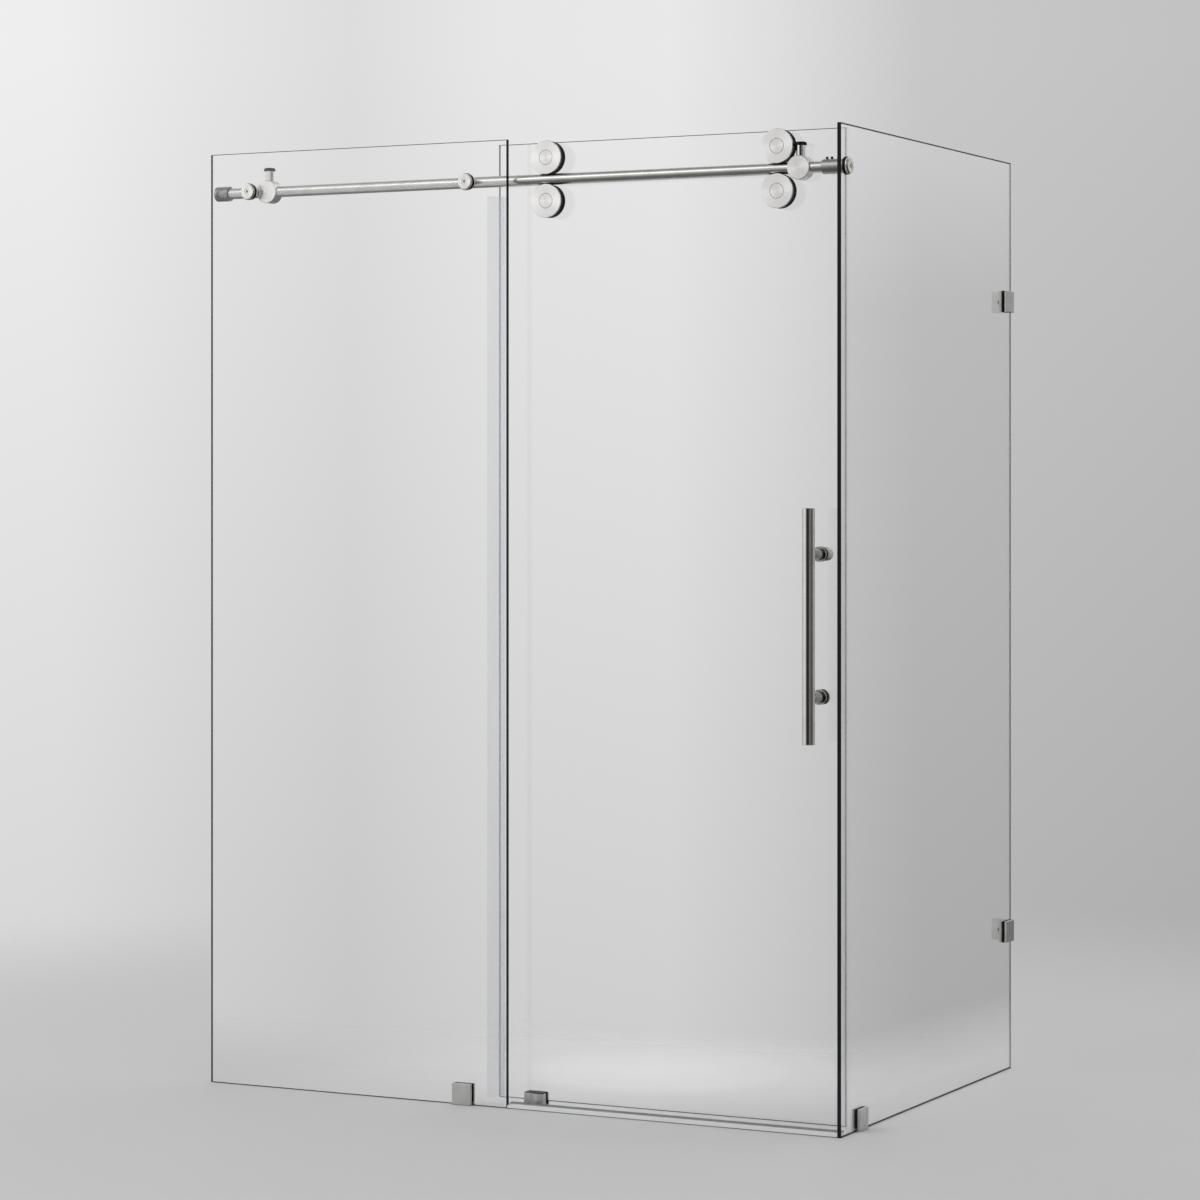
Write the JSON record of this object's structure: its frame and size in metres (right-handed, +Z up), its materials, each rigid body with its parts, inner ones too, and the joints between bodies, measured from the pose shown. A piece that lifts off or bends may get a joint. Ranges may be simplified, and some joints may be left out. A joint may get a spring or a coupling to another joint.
{
  "type": "shower enclosure",
  "caption": "Frameless corner shower enclosure: fixed front panel, side panel and a sliding glass door hung on a round rail by grooved rollers, with pull handle and stoppers.",
  "frame": {"origin": "centre of the bounding box on the floor plane", "axes": "+X along the front from the left wall to the side glass, +Y from the front into the shower, +Z up"},
  "size_m": [1.4076, 0.934, 1.9],
  "materials": {
    "clear_glass": "clear toughened glass, ground and polished edges",
    "satin_steel": "satin stainless steel",
    "polished_steel": "finely turned, bright stainless steel",
    "dark_steel": "blackened steel screws and studs",
    "bearing_steel": "ground bearing steel",
    "black_plastic": "black nylon",
    "black_rubber": "black rubber",
    "clear_plastic": "clear extruded plastic"
  },
  "bodies": {
    "enclosure": {"fixed_panel_glass": "clear_glass", "side_panel_glass": "clear_glass", "guide_rail": "satin_steel", "rail_wall_socket": "satin_steel", "rail_glass_collar": "satin_steel", "rail_end_cap": "satin_steel", "rail_end_bolt": "polished_steel", "rail_end_gaskets": "black_rubber", "rail_set_screws": "dark_steel", "standoff_cap_left": "satin_steel", "standoff_cap_right": "satin_steel", "standoff_boss_left": "satin_steel", "standoff_boss_right": "satin_steel", "standoff_bolts": "polished_steel", "standoff_gaskets": "black_rubber", "stopper_body_left": "satin_steel", "stopper_body_right": "satin_steel", "stopper_pin_left": "polished_steel", "stopper_pin_right": "polished_steel", "stopper_bumper_left": "black_rubber", "stopper_bumper_right": "black_rubber", "floor_clamp_front_outer": "satin_steel", "floor_clamp_front_inner": "satin_steel", "floor_clamp_side_outer": "satin_steel", "floor_clamp_side_inner": "satin_steel", "wall_clamp_upper_bracket": "satin_steel", "wall_clamp_upper_plate": "satin_steel", "wall_clamp_lower_bracket": "satin_steel", "wall_clamp_lower_plate": "satin_steel", "clamp_pads": "black_rubber", "clamp_screws": "dark_steel", "door_guide_body": "satin_steel", "door_guide_liner": "black_plastic", "sill_strip": "clear_plastic"},
    "door": {"door_glass": "clear_glass", "handle_bar": "satin_steel", "handle_posts": "satin_steel", "handle_gaskets": "black_rubber", "handle_washers": "clear_plastic", "handle_studs": "dark_steel", "handle_knob_inner": "satin_steel", "handle_cap_inner": "satin_steel", "trailing_seal": "clear_plastic", "leading_seal": "clear_plastic", "roller_axles": "polished_steel", "roller_spacers": "satin_steel", "roller_gaskets": "black_rubber", "roller_back_caps": "satin_steel"},
    "wheel_left_upper": {"roller_wheel_left_upper": "black_plastic", "roller_disc_left_upper": "polished_steel", "roller_bearing_left_upper": "bearing_steel"},
    "wheel_left_lower": {"roller_wheel_left_lower": "black_plastic", "roller_disc_left_lower": "polished_steel", "roller_bearing_left_lower": "bearing_steel"},
    "wheel_right_upper": {"roller_wheel_right_upper": "black_plastic", "roller_disc_right_upper": "polished_steel", "roller_bearing_right_upper": "bearing_steel"},
    "wheel_right_lower": {"roller_wheel_right_lower": "black_plastic", "roller_disc_right_lower": "polished_steel", "roller_bearing_right_lower": "bearing_steel"}
  },
  "joints": [
    {"name": "door_slide", "type": "slide", "parent": "enclosure", "child": "door", "axis": [-1, 0, 0], "range_m": [0, 0.596]},
    {"name": "roll_left_upper", "type": "hinge", "parent": "door", "child": "wheel_left_upper", "pos_m": [0.06225, -0.413, 1.8635], "axis": [0, 1, 0], "continuous": true},
    {"name": "roll_left_lower", "type": "hinge", "parent": "door", "child": "wheel_left_lower", "pos_m": [0.06225, -0.413, 1.7785], "axis": [0, 1, 0], "continuous": true},
    {"name": "roll_right_upper", "type": "hinge", "parent": "door", "child": "wheel_right_upper", "pos_m": [0.55625, -0.413, 1.8635], "axis": [0, 1, 0], "continuous": true},
    {"name": "roll_right_lower", "type": "hinge", "parent": "door", "child": "wheel_right_lower", "pos_m": [0.55625, -0.413, 1.7785], "axis": [0, 1, 0], "continuous": true}
  ],
  "couplings": [
    {"joint": "roll_left_upper", "follows": "door_slide", "rad_per_m": -31.746},
    {"joint": "roll_left_lower", "follows": "door_slide", "rad_per_m": 31.746},
    {"joint": "roll_right_upper", "follows": "door_slide", "rad_per_m": -31.746},
    {"joint": "roll_right_lower", "follows": "door_slide", "rad_per_m": 31.746}
  ]
}
